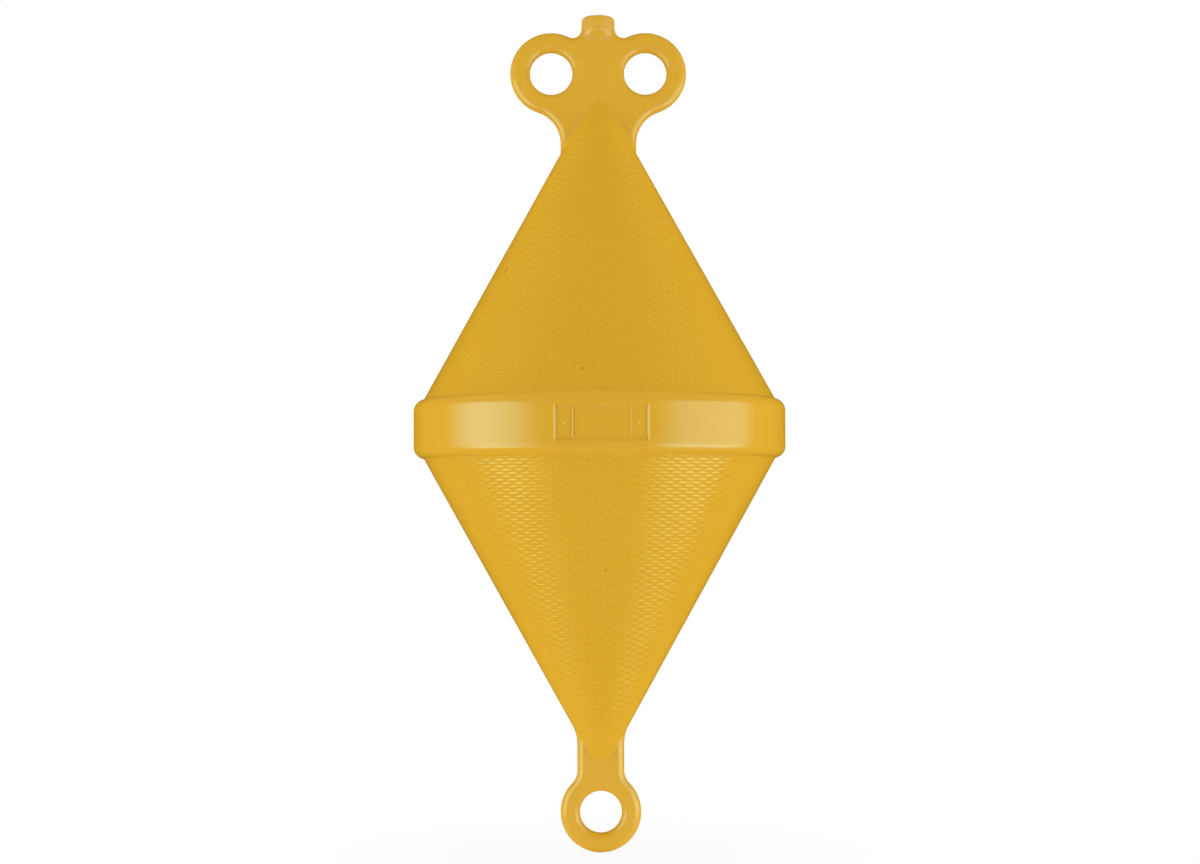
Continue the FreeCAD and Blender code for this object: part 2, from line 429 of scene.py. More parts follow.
def grid_faces(rows, columns, rows_meet=False, columns_meet=False):
    """Quads of a grid of vertices stored row by row; the last row or column may meet the first."""
    faces = []
    for row in range(rows if rows_meet else rows - 1):
        here = row * columns
        there = (row + 1) % rows * columns
        for column in range(columns if columns_meet else columns - 1):
            onward = (column + 1) % columns
            faces.append((here + column, here + onward, there + onward, there + column))
    return faces


def around(radius, angle, height):
    """Point at this angle from the panel's middle, counted towards +X."""
    return Vector((radius * math.sin(angle), -radius * math.cos(angle), height))


def steps(start, end, spacing):
    """Evenly spaced values from start up to, but not at, end."""
    count = max(1, round((end - start) / spacing))
    return [start + (end - start) * index / count for index in range(count)]


def wall_reach(sizes):
    """Width of the panel's wall, from its rounded lip to its sharp foot."""
    slope = math.tan(PANEL_WALL_ANGLE)
    lip_drop = sizes.panel_lip * (1 - math.cos(PANEL_WALL_ANGLE))
    return sizes.panel_lip * math.sin(PANEL_WALL_ANGLE) + (sizes.panel_depth - lip_drop) / slope


def wall_sink(sizes, inside):
    """How deep the belt's face is sunk this far inside the panel's edge."""
    lip_width = sizes.panel_lip * math.sin(PANEL_WALL_ANGLE)
    if inside <= 0:
        return 0.0
    if inside < lip_width:
        return sizes.panel_lip - math.sqrt(sizes.panel_lip ** 2 - inside ** 2)
    lip_drop = sizes.panel_lip * (1 - math.cos(PANEL_WALL_ANGLE))
    return min(sizes.panel_depth, lip_drop + (inside - lip_width) * math.tan(PANEL_WALL_ANGLE))


# --- Belt ---------------------------------------------------------------------------------

FILLET_POINTS = 6
HIDDEN_WALL = 8 * MM      # how far the belt's mesh runs in under the cones
PANEL_WALL_ANGLE = math.radians(47)
RIM_PAINTED_LIGHT = 0.35            # how strongly painted light lifts the shaded join along the belt's upper edge
LEVEL_WALL_EASE = 0.6     # how much more gently the panel's upper and lower walls fall than its end walls
FINE = 0.15 * MM
COARSE = 1.6 * MM


def mirrored_values(half):
    """The values and their negatives in rising order, with no repeats."""
    return sorted({round(value, 9) for value in half} | {round(-value, 9) for value in half})


def belt_edge(corner, fillet):
    """Profile of the belt's upper edge: its round, the fillet into the cone and a wall hidden in the cone."""
    slant = math.hypot(1, CONE_SLOPE)
    middle = Vector((BELT_RADIUS - corner, HALF_BELT - corner))
    along = Vector((-CONE_SLOPE, 1)) / slant
    normal = Vector((1, CONE_SLOPE)) / slant
    start = Vector((CONE_RIM_RADIUS, HALF_BELT)) - middle + normal * fillet
    half_turn = start.dot(along)
    reach = math.sqrt(half_turn ** 2 + (corner + fillet) ** 2 - start.dot(start)) - half_turn
    ball = middle + start + along * reach
    seat = (ball - middle).normalized()
    last_tilt = math.atan2(seat.y, seat.x)
    gentle = math.radians(9)
    tilts = steps(0.0, gentle, math.radians(1.5))[1:] + steps(gentle, last_tilt, 0.11) + [last_tilt]
    places = [middle + Vector((math.cos(tilt), math.sin(tilt))) * corner for tilt in tilts]
    for index in range(1, FILLET_POINTS + 1):
        places.append(ball + (-seat).slerp(-normal, index / FILLET_POINTS) * fillet)
    inner = BELT_RADIUS - corner - HIDDEN_WALL
    places.append(places[-1] - normal * 1 * MM)
    return [(place.x, place.y) for place in places] + [(inner, HALF_BELT)]


def belt_mesh(sizes):
    """Vertices and faces of the belt, with the name panel sunk into its front."""
    corner = sizes.belt_corner
    flat = HALF_BELT - corner
    half_height = sizes.panel_height / 2
    half_turn = math.asin(sizes.panel_width / 2 / BELT_RADIUS)
    wall = wall_reach(sizes)
    level_foot = half_height - wall / LEVEL_WALL_EASE

    heights = steps(0.0, level_foot, COARSE) + steps(level_foot, flat, FINE) + [flat]
    profile = [(BELT_RADIUS, height) for height in mirrored_values(heights)]
    for radius, height in belt_edge(corner, sizes.belt_fillet):
        profile.insert(0, (radius, -height))
        profile.append((radius, height))

    foot_turn = half_turn - wall / BELT_RADIUS
    turns = steps(0.0, foot_turn, COARSE / BELT_RADIUS)
    turns += steps(foot_turn, half_turn, FINE / BELT_RADIUS)
    turns += steps(half_turn, math.pi, math.radians(1.6))
    turns = mirrored_values(turns) + [math.pi]

    vertices = []
    for radius, height in profile:
        for turn in turns:
            inside = min((half_height - abs(height)) * LEVEL_WALL_EASE, (half_turn - abs(turn)) * BELT_RADIUS)
            vertices.append(around(radius - wall_sink(sizes, inside), turn, height))
    return vertices, grid_faces(len(profile), len(turns), True, True)


def band(distance, inner, outer, soft):
    """1 between two distances, with soft edges."""
    return distance.ease(inner - soft, inner + soft) * distance.ease(outer + soft, outer - soft)


def panel_painted_light_and_shade(shader):
    """Painted highlight on the panel's end walls and painted light along the belt's upper edge; painted shade in
    the creases at the walls' feet and beside the bead's left side.
    """
    sizes = bpy.context.scene.buoy_sizes
    across = shader.axis("X").size()
    half_width = sizes.panel_width / 2
    ends = shader.axis("Z").size().ease(sizes.panel_height / 2, sizes.panel_height / 2 - 1.6 * MM)
    front = shader.axis("Y").ease(0.0, -1 * MM)
    foot = half_width - wall_reach(sizes)
    # painted highlight on the panel's end walls
    rubbed_and_lit = band(across, foot + 0.4 * MM, half_width + 0.1 * MM, 0.3 * MM) * ends * front
    # painted light that lifts the shaded join along the belt's upper edge
    rim = band(shader.axis("Z"), HALF_BELT - 4 * MM, HALF_BELT + 4 * MM, 3 * MM) * RIM_PAINTED_LIGHT
    # painted shade in the creases at the end walls' feet
    shade_and_dirt = band(across, foot - 1.0 * MM, foot + 0.1 * MM, 0.4 * MM) * ends * front
    # painted shade beside the bead's left side
    bead = (shader.axis("X") + (sizes.frame_width - sizes.bead_width) / 2).size()
    beside = band(bead, sizes.bead_width / 2, sizes.bead_width / 2 + 0.9 * MM, 0.3 * MM)
    beside = beside * shader.axis("Z").size().ease(sizes.frame_height / 2, sizes.frame_height / 2 - 2 * MM)
    return rubbed_and_lit.larger(rim), shade_and_dirt.larger(beside * front)


def raised_wear_and_highlight(shader):
    """The bead's left side and the pips are painted paler almost all over, as worn plastic and as painted
    highlight, and the rest of the bead a little; small dirt patches lie on them.
    """
    across = shader.axis("X")
    ends = across.ease(-20 * MM, -23 * MM).larger(across.ease(27 * MM, 28 * MM)) * 0.75 + 0.25
    return shader.noise(5 * MM).ease(0.1, 0.4) * ends, shader.noise(3 * MM).ease(0.6, 0.8)


class BUOY_OT_belt(Operator):
    """Build the belt with its sunk name panel"""

    bl_idname = "buoy.belt"
    bl_label = "Belt"

    def execute(self, context):
        # the belt's plastic carries painted highlight, painted light and painted shade round the name panel
        plastic = moulded_plastic(
            "belt_plastic", roughness=0.16, peel_height=0.07 * MM, parting_height=0.25 * MM,
            wear_and_light=panel_painted_light_and_shade,
        )
        vertices, faces = belt_mesh(context.scene.buoy_sizes)
        piece = new_piece("belt_skin", vertices, faces)
        dress(piece, plastic)
        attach(piece, "root")
        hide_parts("belt")
        return {"FINISHED"}


# --- Name frame and pips ----------------------------------------------------------------------

BEAD_SINK = 0.25 * MM          # how far beads and pips start below the panel's floor
BEAD_CORNER = 1.6 * MM         # radius of the bead's middle line at the frame's corners
BEAD_POINTS = 8
BEAD_WORN = 0.4                # share of the bead's height left along its top and bottom; the left side is whole
PIP_SIDES = 28
PIP_RINGS = 7


def rounded_rectangle(half_width, half_height, corner, spacing, corner_points=6):
    """Points and outward directions of a rounded rectangle, anticlockwise from the right side's foot."""
    quarter = [
        (half_width - corner, half_height - corner, 0),
        (corner - half_width, half_height - corner, 1),
        (corner - half_width, corner - half_height, 2),
        (half_width - corner, corner - half_height, 3),
    ]
    turned = []
    for x, z, quarters in quarter:
        for index in range(corner_points + 1):
            angle = (quarters + index / corner_points) * math.pi / 2
            outward = Vector((math.cos(angle), math.sin(angle)))
            turned.append((Vector((x, z)) + outward * corner, outward))
    path = []
    for index, (spot, outward) in enumerate(turned):
        path.append((spot, outward))
        following, next_outward = turned[(index + 1) % len(turned)]
        gap = (following - spot).length
        if (next_outward - outward).length < 1e-6 and gap > spacing:
            for share in steps(0.0, 1.0, spacing / gap)[1:]:
                path.append((spot.lerp(following, share), outward))
    return path


def on_panel(sizes, across, height, lift):
    """Point this far off the panel's floor, across along the belt's chord."""
    floor = BELT_RADIUS - sizes.panel_depth
    return around(floor + lift, math.asin(across / floor), height)


def bead_mesh(sizes):
    half_width = (sizes.frame_width - sizes.bead_width) / 2
    half_height = (sizes.frame_height - sizes.bead_width) / 2
    path = rounded_rectangle(half_width, half_height, BEAD_CORNER, 1.5 * MM)
    section = [(sizes.bead_width / 2, -BEAD_SINK)]
    for index in range(BEAD_POINTS + 1):
        angle = math.pi * index / BEAD_POINTS
        section.append((sizes.bead_width / 2 * math.cos(angle), sizes.bead_height * math.sin(angle)))
    section.append((-sizes.bead_width / 2, -BEAD_SINK))
    vertices = []
    for spot, outward in path:
        left = max(0.0, -outward.x) ** 2 * (1 - BEAD_WORN)
        right = max(0.0, outward.x) ** 2 * (0.6 - BEAD_WORN)
        for offset, lift in section:
            place = spot + outward * offset
            lift *= BEAD_WORN + left + right if lift > 0 else 1
            vertices.append(on_panel(sizes, place.x, place.y, lift))
    faces = grid_faces(len(path), len(section), True, True)
    return vertices, [face[::-1] for face in faces], ()


def pip_mesh(sizes, side):
    vertices = []
    for ring in range(PIP_RINGS):
        share = 1 - ring / PIP_RINGS
        lift = sizes.pip_height * (1 - share ** 2) if ring else -BEAD_SINK
        for step in range(PIP_SIDES):
            turn = 2 * math.pi * step / PIP_SIDES
            radius = share * sizes.pip_diameter / 2
            across = side * sizes.pip_spacing / 2 + radius * math.cos(turn)
            vertices.append(on_panel(sizes, across, radius * math.sin(turn), lift))
    faces = grid_faces(PIP_RINGS, PIP_SIDES, columns_meet=True)
    faces.append(tuple(range((PIP_RINGS - 1) * PIP_SIDES, PIP_RINGS * PIP_SIDES)))
    centre = len(vertices)
    vertices.append(on_panel(sizes, side * sizes.pip_spacing / 2, 0.0, -BEAD_SINK))
    faces += [((step + 1) % PIP_SIDES, step, centre) for step in range(PIP_SIDES)]
    return vertices, faces, [centre]


class BUOY_OT_name_panel(Operator):
    """Build the bead round the blank name field and the two pips beside it"""

    bl_idname = "buoy.name_panel"
    bl_label = "Name frame and pips"

    def execute(self, context):
        sizes = context.scene.buoy_sizes
        # the bead and pips are painted paler, partly as worn plastic and partly as painted highlight
        plastic = moulded_plastic("panel_plastic", 0.18, 0.008 * MM, wear_and_light=raised_wear_and_highlight)
        parts = [
            ("name_bead", bead_mesh(sizes), "name_frame"),
            ("pip_left", pip_mesh(sizes, -1), "frame_pip_left"),
            ("pip_right", pip_mesh(sizes, 1), "frame_pip_right"),
        ]
        for name, (vertices, faces, buried), node in parts:
            piece = new_piece(name, vertices, faces, buried)
            dress(piece, plastic)
            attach(piece, "root")
            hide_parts(node)
        return {"FINISHED"}


# --- Cones ---------------------------------------------------------------------------------------

CONE_SINK = 0.6 * MM           # how far the cone's mesh starts below the belt's face
GRIP_MARGIN = 2 * MM           # height above the belt over which the grip pattern rises
GRIP_RELIEF = 0.46 * MM        # scale of the material's relief; a pillow falls by half of it
GRIP_DEEPER = 1.2              # how much deeper it is at the cones' tips, as a share of it
GRIP_FACING = (0.4, 0.75)      # how squarely a spot faces front or back where it starts and is full
GRIP_TOP = 0.8                 # share of the cone's height past which it fades out
VALLEY = (0.2, 0.45)           # fall below a crown over which the painted shade between pillows sets in
GRID_SHARE = 0.86              # share of the cone's half width that carries the straight mesh columns
SIDE_SPACING = 3.5 * MM        # mesh spacing round the cone's sides, past those columns
CONE_NICKS = [
    (Vector((-78.8, -46.4, 134.2)) * MM, 1.5 * MM),
    (Vector((-79.6, -46.2, 131.6)) * MM, 1.3 * MM),
    (Vector((-14.7, -140.0, 44.1)) * MM, 0.9 * MM),
    (Vector((3.3, -99.4, -118.8)) * MM, 0.9 * MM),
]


PILLOW_SIDES = 0.45            # how steeply a pillow falls sideways, as a share of up and down


def pillow(sizes, across, height):
    """Height of the grip pattern: 1 on a pillow's crown, about 0.47 where it is lowest."""
    u = across / sizes.pillow_width
    v = height / sizes.pillow_height
    straight = PILLOW_SIDES * (u - round(u)) ** 2 + (v - round(v)) ** 2
    staggered = PILLOW_SIDES * (abs(u - round(u)) - 0.5) ** 2 + (abs(v - round(v)) - 0.5) ** 2
    return 1 - 4 * min(straight, staggered)


def grip_pattern(shader):
    """Relief of the pillows' crisp crowns over the mesh, and where painted shade darkens the plastic between
    pillows.

    It fades at the belt and round the cones' sides.
    """
    sizes = bpy.context.scene.buoy_sizes
    u = (shader.axis("X") * (1 / sizes.pillow_width)).off_nearest()
    level = shader.axis("Z").size()
    v = (level * (1 / sizes.pillow_height)).off_nearest()
    aside = 0.5 - u
    above = 0.5 - v
    straight = u * u * PILLOW_SIDES + v * v
    staggered = aside * aside * PILLOW_SIDES + above * above
    fall = straight.smaller(staggered) * 4
    radius = (APEX_HEIGHT - level) * CONE_SLOPE
    facing = (shader.axis("Y").size() / radius).ease(*GRIP_FACING)
    fade = level.ease(HALF_BELT, HALF_BELT + GRIP_MARGIN)
    fade = fade * level.ease(CONE_TIP, CONE_TIP * GRIP_TOP) * facing
    depth = 1 + level.ease(HALF_BELT, CONE_TIP) * GRIP_DEEPER
    # second value: where painted shade darkens the plastic between pillows
    return fall * fade * depth * -GRIP_RELIEF, fall.ease(*VALLEY) * fade


def ring_angles(sizes, radius, row):
    """Angles of one mesh row, with its columns on the pillows' diagonals across the front and back."""
    column = sizes.pillow_width / sizes.pillow_steps
    limit = radius * GRID_SHARE
    reach = int(limit / column)
    columns = [index for index in range(-reach, reach + 1) if (index + row) % 2 == 0]
    front = [math.asin(index * column / radius) for index in columns]
    widest = max(front, default=0.0)
    gap = math.pi - 2 * widest
    count = max(2, round(gap * radius / SIDE_SPACING))
    side = [widest + gap * index / count for index in range(1, count)]
    back = [math.pi - angle for angle in reversed(front)]
    other = [angle + math.pi for angle in side]
    return front + side + back + other


def zipper(first, first_start, second, second_start):
    """Triangles between two rings of rising angles, whose vertices start at these indices."""
    faces = []
    here = 0
    there = 0
    while here < len(first) or there < len(second):
        next_here = first[here + 1] if here + 1 < len(first) else first[0] + 2 * math.pi
        next_there = second[there + 1] if there + 1 < len(second) else second[0] + 2 * math.pi
        a = first_start + here % len(first)
        b = second_start + there % len(second)
        if there == len(second) or (here < len(first) and next_here <= next_there):
            faces.append((a, first_start + (here + 1) % len(first), b))
            here += 1
        else:
            faces.append((a, second_start + (there + 1) % len(second), b))
            there += 1
    return faces


def cone_mesh(sizes, direction):
    """Cone with diamond pillows in straight rows, as a mould parted at the lug plates leaves them."""
    row_height = sizes.pillow_height / sizes.pillow_steps
    slant = math.hypot(1, CONE_SLOPE)
    first_row = math.floor((HALF_BELT - CONE_SINK) / row_height)
    last_row = math.floor(CONE_TIP / row_height)
    vertices = [Vector((0, 0, direction * first_row * row_height))]
    faces = []
    above = None
    for row in range(first_row, last_row + 1):
        level = row * row_height
        radius = (APEX_HEIGHT - level) * CONE_SLOPE
        angles = ring_angles(sizes, radius, row)
        fade = min(1.0, max(0.0, (level - HALF_BELT) / GRIP_MARGIN))
        start = len(vertices)
        for angle in angles:
            lift = pillow(sizes, radius * math.sin(angle), level) - 0.5
            lift *= sizes.pillow_rise * abs(math.cos(angle)) * fade
            height = level + lift * CONE_SLOPE / slant
            vertices.append(around(radius + lift / slant, angle, direction * height))
        if above is None:
            ring = [(start + step, start + (step + 1) % len(angles)) for step in range(len(angles))]
            faces += [(0, onward, here) for here, onward in ring]
        else:
            faces += zipper(above[0], above[1], angles, start)
        above = (angles, start)
    vertices.append(Vector((0, 0, direction * last_row * row_height)))
    angles, start = above
    ring = [(start + step, start + (step + 1) % len(angles)) for step in range(len(angles))]
    faces += [(here, onward, len(vertices) - 1) for here, onward in ring]
    if direction < 0:
        faces = [face[::-1] for face in faces]
    return vertices, faces


class BUOY_OT_cones(Operator):
    """Build both cones with their diamond grip pattern"""

    bl_idname = "buoy.cones"
    bl_label = "Cones"

    def execute(self, context):
        sizes = context.scene.buoy_sizes
        plastic = moulded_plastic(
            "cone_plastic", roughness=0.14, peel_height=0.006 * MM, parting_height=0.25 * MM,
            nicks=CONE_NICKS, pattern=grip_pattern, gloss=GRIP_GLOSS,
        )
        for name, direction in (("upper_cone", 1), ("lower_cone", -1)):
            vertices, faces = cone_mesh(sizes, direction)
            piece = new_piece(name + "_skin", vertices, faces)
            dress(piece, plastic)
            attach(piece, "root")
            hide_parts(name)
        return {"FINISHED"}


# --- Lug plates -----------------------------------------------------------------------------------

HEAD_FOOT_HALF_WIDTH = 32.8 * MM
TAIL_FOOT_HALF_WIDTH = 20.15 * MM
PLATE_CORNER = 7 * MM
BLEND_POINTS = 7
BLEND_TUCK = 0.12 * MM         # how far the blend's edges are sunk into what they join


def blend_mesh(sizes, half_width, direction):
    """Rolling-ball blend between a cone and the straight foot of its lug plate."""
    ball = sizes.blend_radius
    slant = math.hypot(1, CONE_SLOPE)
    path = rounded_rectangle(half_width, HALF_PLATE, PLATE_CORNER, 1.2 * MM, 10)
    vertices = []
    for spot, outward in path:
        centre = spot + outward * ball
        distance = centre.length
        level = APEX_HEIGHT - (distance - ball * slant) / CONE_SLOPE
        middle = Vector((centre.x, centre.y, level))
        to_plate = Vector((-outward.x, -outward.y, 0))
        to_cone = -Vector((centre.x / distance, centre.y / distance, CONE_SLOPE)) / slant
        for index in range(BLEND_POINTS):
            share = index / (BLEND_POINTS - 1)
            towards = to_plate.slerp(to_cone, share)
            reach = ball + (BLEND_TUCK if index in (0, BLEND_POINTS - 1) else 0.0)
            place = middle + towards * reach
            vertices.append(Vector((place.x, place.y, direction * place.z)))
        corner = spot - outward * BLEND_TUCK
        level = APEX_HEIGHT - corner.length / CONE_SLOPE - BLEND_TUCK
        vertices.append(Vector((corner.x, corner.y, direction * level)))
    faces = grid_faces(len(path), BLEND_POINTS + 1, True, True)
    if direction < 0:
        faces = [face[::-1] for face in faces]
    return vertices, faces, range(BLEND_POINTS, len(vertices), BLEND_POINTS + 1)


class BUOY_OT_lug_plates(Operator):
    """Finish the two lug plates and blend them into the cones"""

    bl_idname = "buoy.lug_plates"
    bl_label = "Lug plates"

    def execute(self, context):
        sizes = context.scene.buoy_sizes
        plastic = moulded_plastic(
            "plate_plastic", roughness=0.2, peel_height=0.006 * MM, parting_height=0.1 * MM,
        )
        feet = [("head_plate", 1, HEAD_FOOT_HALF_WIDTH), ("tail_plate", -1, TAIL_FOOT_HALF_WIDTH)]
        for node, direction, half_width in feet:
            dress(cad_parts[node], plastic)
            piece = new_piece(node + "_blend", *blend_mesh(sizes, half_width, direction))
            dress(piece, plastic)
            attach(piece, "root")
        return {"FINISHED"}


# --- Filling neck ------------------------------------------------------------------------------------

NECK_SKIRT_FOOT = 336.9 * MM
NECK_SKIRT_TOP = 346.6 * MM
SKIRT_BACK = 1 * MM            # how deep the skirt's hidden back lies in the plate
NECK_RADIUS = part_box("filling_neck")[1].y


def skirt_mesh(side):
    """Smooth skirt that carries one side of the neck down into the face of the head plate."""
    columns = 33
    rows = 19
    widest = math.sqrt(NECK_RADIUS ** 2 - HALF_PLATE ** 2)
    vertices = []
    for row in range(rows):
        share = row / (rows - 1)
        height = NECK_SKIRT_FOOT + (NECK_SKIRT_TOP - NECK_SKIRT_FOOT) * share
        swell = share ** 2 * (3 - 2 * share)
        for column in range(columns):
            across = widest * math.sin(math.pi / 2 * (2 * column / (columns - 1) - 1))
            proud = math.sqrt(NECK_RADIUS ** 2 - across ** 2) - HALF_PLATE
            depth = HALF_PLATE - BLEND_TUCK / 4 + proud * swell
            vertices.append(Vector((across, -side * depth, height)))
        for across in (widest, -widest):
            vertices.append(Vector((across, -side * (HALF_PLATE - SKIRT_BACK), height)))
    ring = columns + 2
    faces = grid_faces(rows, ring, columns_meet=True)
    faces.append(tuple(range(ring))[::-1])
    faces.append(tuple(range((rows - 1) * ring, rows * ring)))
    if side < 0:
        faces = [face[::-1] for face in faces]
    buried = [row * ring + columns + step for row in range(rows) for step in (0, 1)]
    return vertices, faces, buried


class BUOY_OT_filling_neck(Operator):
    """Finish the filling neck and its plug"""

    bl_idname = "buoy.filling_neck"
    bl_label = "Filling neck and plug"

    def execute(self, context):
        plastic = moulded_plastic("neck_plastic", 0.3, 0.006 * MM)
        for node in ("filling_neck", "filler_plug"):
            dress(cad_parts[node], plastic)
        for name, side in (("neck_skirt_front", 1), ("neck_skirt_back", -1)):
            piece = new_piece(name, *skirt_mesh(side))
            dress(piece, plastic)
            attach(piece, "root")
        return {"FINISHED"}


# --- Stage ------------------------------------------------------------------------------------------

FLOOR_RADIUS = 9.0
FLOOR_SIDES = 96
SKY_SOFT = 0.525               # strength of the soft light from in front, behind and above
SKY_SIDE = 1.16                # how much stronger it is from straight beside the buoy
SKY_SHOULDER = 0.7             # further strength from high up beside the buoy
FLOOR_FILL = 0.65              # share of the floor that shines on the buoy by itself
FLOOR_GLOW = 1.55
SOFTBOX_DISTANCE = 0.62
SOFTBOX_TOP = 0.26
SOFTBOX_REACH = 0.30           # how near the axis its silk runs in along the floor
SOFTBOX_GLOW = 1.7
GLOSS_DOME_RADIUS = 0.8
CARD_COLOUR = (0.33, 0.185, 0.01, 1.0)

CAMERA_DISTANCE = 1.96
CAMERA_TURN = math.radians(0.64)      # towards -X from straight in front of the panel
CAMERA_RISE = math.radians(-2.1)
CAMERA_ROLL = math.radians(-0.22)
CAMERA_LENS = 68.08
CAMERA_AIM = Vector((0.4, 0.0, -2.3)) * MM


def stage_piece(name, vertices, faces, material):
    piece = new_piece(name, vertices, faces)
    piece.data.materials.append(material)
    return piece


def only_in_reflections(piece):
    piece.visible_camera = False
    piece.visible_diffuse = False
    piece.visible_shadow = False
    piece.visible_transmission = False


def sweep(profile, start, end, columns):
    """Surface swept round the axis between two angles by a profile of (radius, height) points."""
    vertices = []
    for index in range(columns + 1):
        angle = start + (end - start) * index / columns
        vertices += [around(radius, angle, height) for radius, height in profile]
    return vertices, grid_faces(columns + 1, len(profile))


def white_for_camera(shader):
    return shader.ray("Is Camera Ray", "Is Glossy Ray", "Is Transmission Ray")


def build_world(scene):
    """White behind everything; on the buoy a soft light that is stronger from the sides."""
    world = bpy.data.worlds.new("studio")
    scene.world = world
    world.use_nodes = True
    shader = Shader(world.node_tree)
    way = shader.add("ShaderNodeTexCoord", output="Generated")
    aside = shader.add("ShaderNodeSeparateXYZ", None, {"Vector": way}, "X")
    above = shader.add("ShaderNodeSeparateXYZ", None, {"Vector": way}, "Z")
    aside = aside * aside
    soft = SKY_SOFT + aside * (SKY_SIDE + above.ease(0.1, 0.7) * SKY_SHOULDER)
    seen = white_for_camera(shader)
    strength = soft + seen * (1.0 - soft)
    light = shader.add("ShaderNodeBackground", None, {"Color": (1, 1, 1, 1), "Strength": strength})
    shader.finish("ShaderNodeOutputWorld", light)


def build_floor(colours):
    """Pale floor that keeps the buoy's shadow and fades into white; from below it isn't seen."""
    material, shader = new_material("floor_paint")
    paint = shader.add("ShaderNodeBsdfDiffuse", None, {"Color": with_alpha(colours.floor)})
    seen = white_for_camera(shader)
    filling = shader.ray("Is Diffuse Ray")
    glow = {"Color": (1, 1, 1, 1), "Strength": seen + filling * FLOOR_GLOW}
    white = shader.add("ShaderNodeEmission", None, glow)
    away = shader.distance_to((0, 0, BUOY_FOOT)).ease(0.08, 0.3)
    under = shader.distance_to((0, 0, BUOY_FOOT)).ease(-0.04, 0.05)
    share = seen * (0.85 + away * 0.15) + filling * FLOOR_FILL * under
    lit = shader.add("ShaderNodeMixShader", None, {0: share, 1: paint, 2: white})
    clear = shader.add("ShaderNodeBsdfTransparent")
    below = shader.add("ShaderNodeNewGeometry", output="Backfacing")
    surface = shader.add("ShaderNodeMixShader", None, {0: below, 1: lit, 2: clear})
    shader.finish("ShaderNodeOutputMaterial", surface)
    turns = [2 * math.pi * index / FLOOR_SIDES for index in range(FLOOR_SIDES)]
    rim = [around(FLOOR_RADIUS, turn, BUOY_FOOT) for turn in turns]
    stage_piece("floor", rim, [tuple(range(FLOOR_SIDES))], material).visible_glossy = False


def build_softbox(name, start, end):
    """Softbox beside the buoy whose silk runs in along the floor; it is weaker there and towards the camera.

    start, end: angles of its edges from the panel's middle.
    """
    material, shader = new_material(name + "_silk")
    place = shader.add("ShaderNodeUVMap", {"uv_map": "sweep"})
    across = shader.add("ShaderNodeSeparateXYZ", None, {"Vector": place}, "X")
    along = shader.add("ShaderNodeSeparateXYZ", None, {"Vector": place}, "Y")
    strength = across.ease(0.0, 0.3) * along.ease(1.0, 0.4) * SOFTBOX_GLOW
    light = shader.add("ShaderNodeEmission", None, {"Color": (1, 1, 1, 1), "Strength": strength})
    shader.finish("ShaderNodeOutputMaterial", light)
    material.cycles.emission_sampling = "NONE"
    low = BUOY_FOOT + 2 * MM
    bend = SOFTBOX_DISTANCE - SOFTBOX_REACH
    profile = [(SOFTBOX_DISTANCE, SOFTBOX_TOP + (low - SOFTBOX_TOP) * index / 10) for index in range(10)]
    profile += [(SOFTBOX_DISTANCE - bend * index / 6, low) for index in range(7)]
    columns = 24
    vertices, faces = sweep(profile, start, end, columns)
    box = stage_piece(name, vertices, faces, material)
    layer = box.data.uv_layers.new(name="sweep")
    for loop in box.data.loops:
        column, step = divmod(loop.vertex_index, len(profile))
        layer.data[loop.index].uv = (column / columns, step / (len(profile) - 1))
    box.visible_camera = False
    box.visible_glossy = False


def bright_field(shader, side, strength, front_edge, back_edge, low_share, low_gain):
    """Bright field on one side of the gloss dome: full at the buoy's level, weaker below, none above.

    front_edge, back_edge: where it starts and is full, as shares of the dome's radius along X and Y.
    """
    across = shader.axis("X") * (side / GLOSS_DOME_RADIUS)
    behind = shader.axis("Y") * (1 / GLOSS_DOME_RADIUS)
    rise = shader.axis("Z") * (1 / GLOSS_DOME_RADIUS)
    below = rise.smaller(0.0) * -1.0
    width = (across + below * 0.2).ease(*front_edge) * (behind + below * 0.15).ease(*back_edge)
    level = (rise - behind * 0.25).ease(-0.54, -0.44) * (1 - low_share) + low_share
    gain = 1 + rise.ease(-0.1, -0.35) * low_gain
    return width * level * gain * rise.ease(0.42, 0.3) * rise.ease(-1.0, -0.6) * strength


def build_gloss_dome():
    """Amber sphere round the buoy with a bright field on each side, seen only in the buoy's gloss."""
    material, shader = new_material("gloss_dome")
    left = bright_field(shader, -1, 2.0, (0.5, 0.92), (0.19, -0.34), 0.03, 0.15)
    right = bright_field(shader, 1, 1.2, (0.47, 0.78), (0.18, -0.12), 0.1, 0.8)
    card = shader.add("ShaderNodeEmission", None, {"Color": CARD_COLOUR, "Strength": 1.0})
    light = shader.add("ShaderNodeEmission", None, {"Color": (1, 1, 1, 1), "Strength": left + right})
    both = shader.add("ShaderNodeAddShader", None, {0: card, 1: light})
    shader.finish("ShaderNodeOutputMaterial", both)
    material.cycles.emission_sampling = "NONE"
    profile = []
    for rise in steps(-math.pi / 2, math.pi / 2, math.radians(6)) + [math.pi / 2]:
        profile.append((GLOSS_DOME_RADIUS * max(math.cos(rise), 0.001), GLOSS_DOME_RADIUS * math.sin(rise)))
    only_in_reflections(stage_piece("gloss_dome", *sweep(profile, 0.0, 2 * math.pi, 96), material))


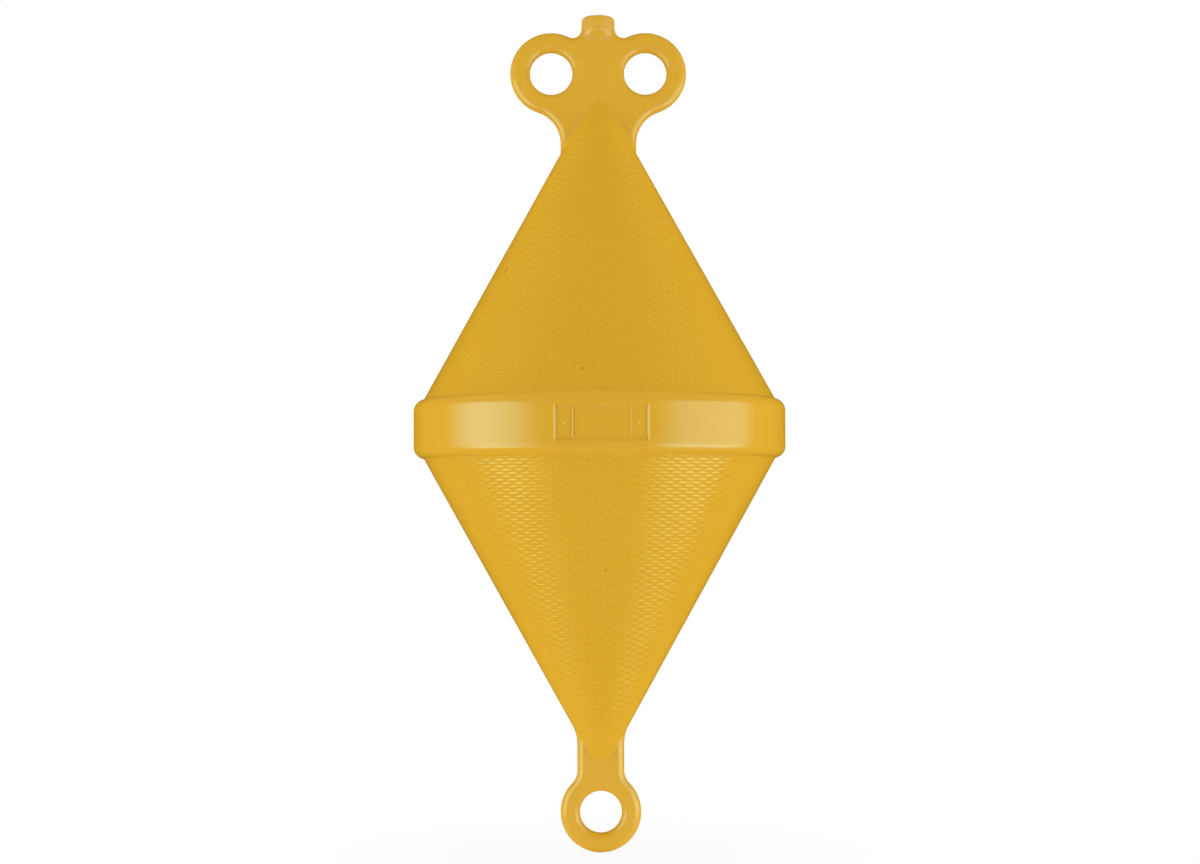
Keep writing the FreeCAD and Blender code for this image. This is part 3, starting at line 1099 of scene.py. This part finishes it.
def build_camera(scene):
    lens = bpy.data.cameras.new("camera")
    lens.lens = CAMERA_LENS
    lens.sensor_width = 36.0
    camera = bpy.data.objects.new("camera", lens)
    scene.collection.objects.link(camera)
    level = CAMERA_DISTANCE * math.cos(CAMERA_RISE)
    place = around(level, -CAMERA_TURN, CAMERA_DISTANCE * math.sin(CAMERA_RISE))
    turn = (CAMERA_AIM - place).to_track_quat("-Z", "Y").to_matrix().to_4x4()
    camera.matrix_world = Matrix.Translation(place) @ turn @ Matrix.Rotation(CAMERA_ROLL, 4, "Z")
    scene.camera = camera


class BUOY_OT_stage(Operator):
    """Set up the world, the floor, the softboxes, the gloss dome and the camera"""

    bl_idname = "buoy.stage"
    bl_label = "Studio stage"

    def execute(self, context):
        scene = context.scene
        scene.view_settings.view_transform = "Standard"
        build_world(scene)
        build_floor(scene.buoy_colours)
        build_softbox("softbox_left", math.radians(-37), math.radians(-80))
        build_softbox("softbox_right", math.radians(27), math.radians(83))
        build_gloss_dome()
        build_camera(scene)
        return {"FINISHED"}


# --- Panel and registration ---------------------------------------------------------------------------

OPERATORS = (
    BUOY_OT_belt,
    BUOY_OT_name_panel,
    BUOY_OT_cones,
    BUOY_OT_lug_plates,
    BUOY_OT_filling_neck,
    BUOY_OT_stage,
)


class BUOY_PT_sidebar(Panel):
    """Lists the buoy's pieces and their settings"""

    bl_label = "Mooring Buoy"
    bl_idname = "BUOY_PT_sidebar"
    bl_space_type = "VIEW_3D"
    bl_region_type = "UI"
    bl_category = "Buoy"

    def draw(self, context):
        layout = self.layout
        for operator in OPERATORS:
            layout.operator(operator.bl_idname)
        for settings in (context.scene.buoy_sizes, context.scene.buoy_colours):
            box = layout.box()
            for name in settings.__annotations__:
                box.prop(settings, name)


CLASSES = (BuoySizes, BuoyColours, *OPERATORS, BUOY_PT_sidebar)


def register():
    for entry in CLASSES:
        bpy.utils.register_class(entry)
    bpy.types.Scene.buoy_sizes = PointerProperty(type=BuoySizes)
    bpy.types.Scene.buoy_colours = PointerProperty(type=BuoyColours)


def unregister():
    del bpy.types.Scene.buoy_colours
    del bpy.types.Scene.buoy_sizes
    for entry in reversed(CLASSES):
        bpy.utils.unregister_class(entry)


def main():
    register()
    bpy.ops.buoy.belt()
    bpy.ops.buoy.name_panel()
    bpy.ops.buoy.cones()
    bpy.ops.buoy.lug_plates()
    bpy.ops.buoy.filling_neck()
    bpy.ops.buoy.stage()


if __name__ == "__main__":
    main()
